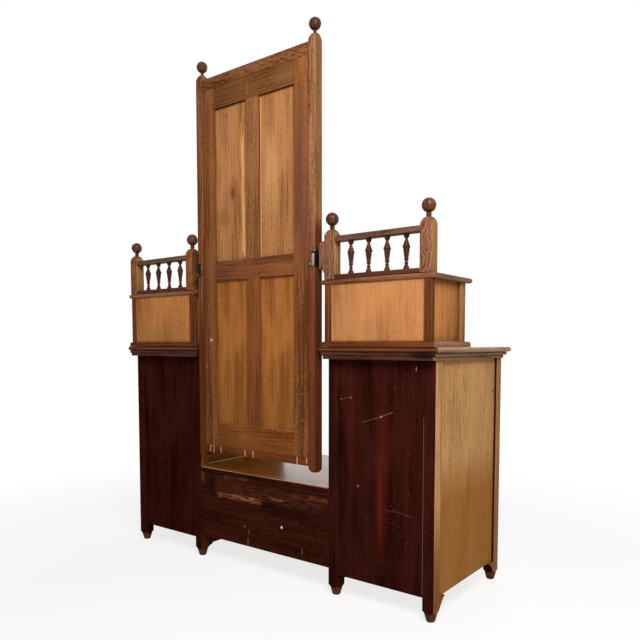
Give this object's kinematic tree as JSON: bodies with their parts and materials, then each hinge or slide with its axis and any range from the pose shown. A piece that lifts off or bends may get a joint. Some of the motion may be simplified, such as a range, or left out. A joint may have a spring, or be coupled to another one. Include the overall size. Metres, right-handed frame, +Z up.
{
  "type": "dressing chest",
  "caption": "Pedestal dressing chest with a tall tilting mirror, panelled mirror back, spindle galleries over small drawers and a low centre with a long drawer.",
  "frame": {"origin": "middle of the bounding box's footprint, on the floor", "axes": "+Z up; the front with the drawers faces -Y and the panelled back faces +Y; +X to the right as seen from the front"},
  "size_m": [1.44, 0.5634, 1.8758],
  "materials": {
    "dark_stained_pine": "dark stained, worn, satin",
    "honey_pine": "waxed, satin",
    "golden_pine": "waxed, satin",
    "brown_pine": "stained and varnished, satin",
    "turned_wood": "varnished, semi gloss",
    "polished_top": "polished, worn edges",
    "drawer_lining": "bare wood, matt",
    "silvered_glass": "silvered, polished",
    "dark_iron": "aged, dark"
  },
  "bodies": {
    "carcass": {"right_back_post_outer": "dark_stained_pine", "right_back_post_inner": "dark_stained_pine", "right_carcass_frame": "honey_pine", "right_side_panel_outer": "honey_pine", "right_side_panel_inner": "honey_pine", "right_back_panel": "dark_stained_pine", "right_pedestal_top": "polished_top", "right_box_case": "golden_pine", "right_box_back_panel": "golden_pine", "right_box_top": "polished_top", "right_gallery_post_outer": "brown_pine", "right_gallery_post_inner": "brown_pine", "right_gallery_spindles": "turned_wood", "right_mirror_socket": "dark_iron", "left_back_post_outer": "dark_stained_pine", "left_back_post_inner": "dark_stained_pine", "left_carcass_frame": "honey_pine", "left_side_panel_outer": "honey_pine", "left_side_panel_inner": "honey_pine", "left_back_panel": "dark_stained_pine", "left_pedestal_top": "polished_top", "left_box_case": "golden_pine", "left_box_back_panel": "golden_pine", "left_box_top": "polished_top", "left_gallery_post_outer": "brown_pine", "left_gallery_post_inner": "brown_pine", "left_gallery_spindles": "turned_wood", "left_mirror_socket": "dark_iron", "centre_top": "polished_top", "centre_back_panel": "dark_stained_pine", "centre_base_board": "drawer_lining"},
    "mirror": {"mirror_right_post": "brown_pine", "mirror_left_post": "brown_pine", "mirror_top_rail": "brown_pine", "mirror_bottom_rail": "brown_pine", "mirror_back_frame": "brown_pine", "mirror_glass": "silvered_glass", "mirror_upper_right_panel": "golden_pine", "mirror_upper_left_panel": "golden_pine", "mirror_lower_right_panel": "golden_pine", "mirror_lower_left_panel": "golden_pine", "mirror_right_pivot_plate": "dark_iron", "mirror_left_pivot_plate": "dark_iron"},
    "right_low_drawer": {"right_low_drawer_front": "brown_pine", "right_low_drawer_box": "drawer_lining"},
    "right_middle_drawer": {"right_middle_drawer_front": "brown_pine", "right_middle_drawer_box": "drawer_lining"},
    "right_top_drawer": {"right_top_drawer_front": "brown_pine", "right_top_drawer_box": "drawer_lining"},
    "right_jewel_drawer": {"right_jewel_drawer": "brown_pine"},
    "left_low_drawer": {"left_low_drawer_front": "brown_pine", "left_low_drawer_box": "drawer_lining"},
    "left_middle_drawer": {"left_middle_drawer_front": "brown_pine", "left_middle_drawer_box": "drawer_lining"},
    "left_top_drawer": {"left_top_drawer_front": "brown_pine", "left_top_drawer_box": "drawer_lining"},
    "left_jewel_drawer": {"left_jewel_drawer": "brown_pine"},
    "long_drawer": {"long_drawer_front": "brown_pine", "long_drawer_box": "drawer_lining"}
  },
  "joints": [
    {"name": "mirror_tilt", "type": "hinge", "parent": "carcass", "child": "mirror", "pos_m": [0, 0.25935, 1.1149], "axis": [1, 0, 0], "range_deg": [-20, 20]},
    {"name": "right_low_drawer_slide", "type": "slide", "parent": "carcass", "child": "right_low_drawer", "axis": [0, -1, 0], "range_m": [0, 0.33]},
    {"name": "right_middle_drawer_slide", "type": "slide", "parent": "carcass", "child": "right_middle_drawer", "axis": [0, -1, 0], "range_m": [0, 0.33]},
    {"name": "right_top_drawer_slide", "type": "slide", "parent": "carcass", "child": "right_top_drawer", "axis": [0, -1, 0], "range_m": [0, 0.33]},
    {"name": "right_jewel_drawer_slide", "type": "slide", "parent": "carcass", "child": "right_jewel_drawer", "axis": [0, -1, 0], "range_m": [0, 0.14]},
    {"name": "left_low_drawer_slide", "type": "slide", "parent": "carcass", "child": "left_low_drawer", "axis": [0, -1, 0], "range_m": [0, 0.33]},
    {"name": "left_middle_drawer_slide", "type": "slide", "parent": "carcass", "child": "left_middle_drawer", "axis": [0, -1, 0], "range_m": [0, 0.33]},
    {"name": "left_top_drawer_slide", "type": "slide", "parent": "carcass", "child": "left_top_drawer", "axis": [0, -1, 0], "range_m": [0, 0.33]},
    {"name": "left_jewel_drawer_slide", "type": "slide", "parent": "carcass", "child": "left_jewel_drawer", "axis": [0, -1, 0], "range_m": [0, 0.14]},
    {"name": "long_drawer_slide", "type": "slide", "parent": "carcass", "child": "long_drawer", "axis": [0, -1, 0], "range_m": [0, 0.33]}
  ]
}
